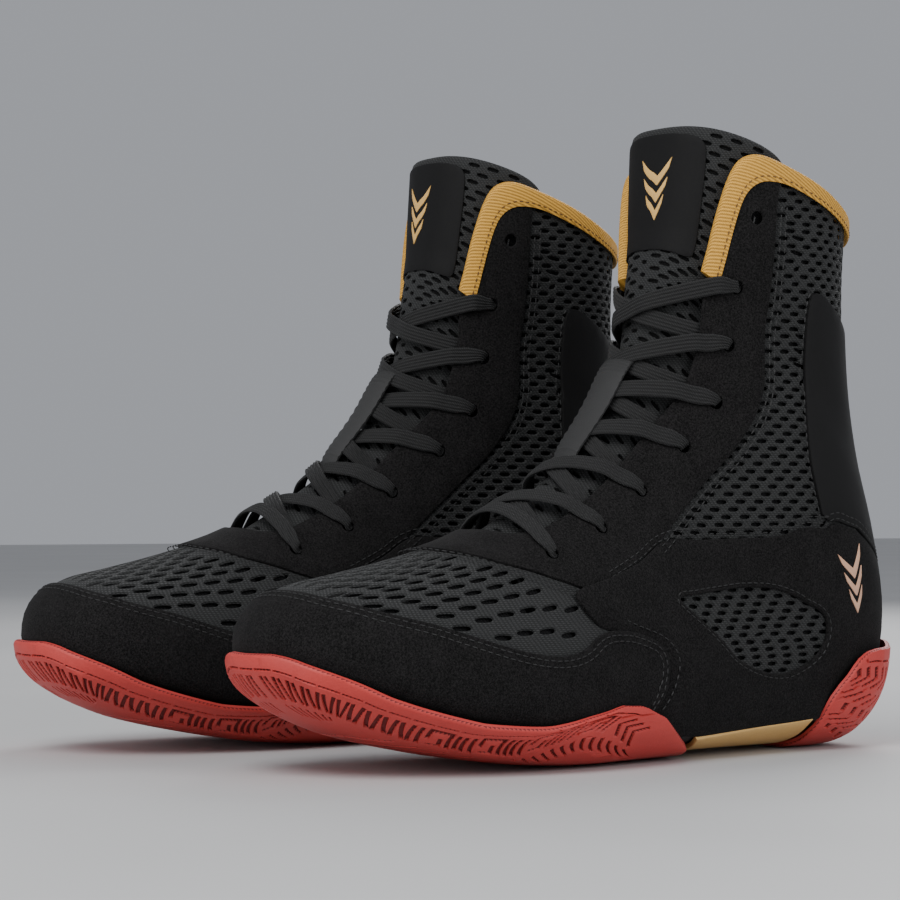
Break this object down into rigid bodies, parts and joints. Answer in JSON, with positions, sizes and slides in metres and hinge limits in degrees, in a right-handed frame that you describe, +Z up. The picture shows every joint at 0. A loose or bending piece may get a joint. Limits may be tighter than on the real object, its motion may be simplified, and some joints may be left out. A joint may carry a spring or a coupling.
{
  "type": "boxing boots",
  "caption": "Pair of high lace-up boxing boots: mesh and suede uppers, bound collars, rubber soles split by a shank plate; the boots part and each tongue's top tilts.",
  "frame": {"origin": "on the ground under the centre of the pair", "axes": "+Z up, the toes point along -Y, the wearer's left boot at +X"},
  "size_m": [0.2322, 0.3096, 0.2324],
  "materials": {
    "red_rubber": "moulded matte rubber",
    "gold_shank": "satin moulded plastic",
    "foam": "matte foam",
    "board": "pressed fibre board",
    "sockliner": "brushed knit over foam",
    "lining": "brushed knit",
    "suede": "short-napped microfibre suede",
    "mesh": "open sandwich mesh",
    "gold_binding": "woven twill binding",
    "patch": "smooth moulded patch",
    "gold_print": "metallic print",
    "rose_print": "metallic print",
    "webbing": "ribbed webbing",
    "lace": "flat woven lace",
    "lace_tip": "shrunk plastic tip"
  },
  "bodies": {
    "left_boot": {"left_outsole_forefoot": "red_rubber", "left_outsole_heel": "red_rubber", "left_shank": "gold_shank", "left_midsole": "foam", "left_insole_board": "board", "left_sockliner": "sockliner", "left_toe_puff": "board", "left_heel_stiffener": "board", "left_vamp_lining": "lining", "left_quarter_lining": "lining", "left_toe_cap": "suede", "left_vamp_mesh": "mesh", "left_eyestay": "suede", "left_quarter_mesh_outer": "mesh", "left_quarter_mesh_inner": "mesh", "left_window_mesh": "mesh", "left_heel_overlay": "suede", "left_back_stay": "suede", "left_collar_binding": "gold_binding", "left_tongue": "mesh", "left_heel_emblem": "rose_print", "left_lace_keeper": "webbing", "left_lace": "lace", "left_lace_tips": "lace_tip"},
    "left_tongue_top": {"left_tongue_top": "mesh", "left_tongue_patch": "patch", "left_tongue_emblem": "gold_print"},
    "right_boot": {"right_outsole_forefoot": "red_rubber", "right_outsole_heel": "red_rubber", "right_shank": "gold_shank", "right_midsole": "foam", "right_insole_board": "board", "right_sockliner": "sockliner", "right_toe_puff": "board", "right_heel_stiffener": "board", "right_vamp_lining": "lining", "right_quarter_lining": "lining", "right_toe_cap": "suede", "right_vamp_mesh": "mesh", "right_eyestay": "suede", "right_quarter_mesh_outer": "mesh", "right_quarter_mesh_inner": "mesh", "right_window_mesh": "mesh", "right_heel_overlay": "suede", "right_back_stay": "suede", "right_collar_binding": "gold_binding", "right_tongue": "mesh", "right_heel_emblem": "rose_print", "right_lace_keeper": "webbing", "right_lace": "lace", "right_lace_tips": "lace_tip"},
    "right_tongue_top": {"right_tongue_top": "mesh", "right_tongue_patch": "patch", "right_tongue_emblem": "gold_print"}
  },
  "joints": [
    {"name": "right_boot_slide", "type": "slide", "parent": "left_boot", "child": "right_boot", "axis": [-1, 0, 0], "range_m": [0, 0.15]},
    {"name": "left_tongue_tilt", "type": "hinge", "parent": "left_boot", "child": "left_tongue_top", "pos_m": [0.06228, 0.04938, 0.18016], "axis": [0.9986, 0.0523, 0], "range_deg": [-20, 0], "stiffness_Nm_per_rad": 0.05},
    {"name": "right_tongue_tilt", "type": "hinge", "parent": "right_boot", "child": "right_tongue_top", "pos_m": [-0.06228, 0.02838, 0.18016], "axis": [0.9986, -0.0523, 0], "range_deg": [-20, 0], "stiffness_Nm_per_rad": 0.05}
  ]
}
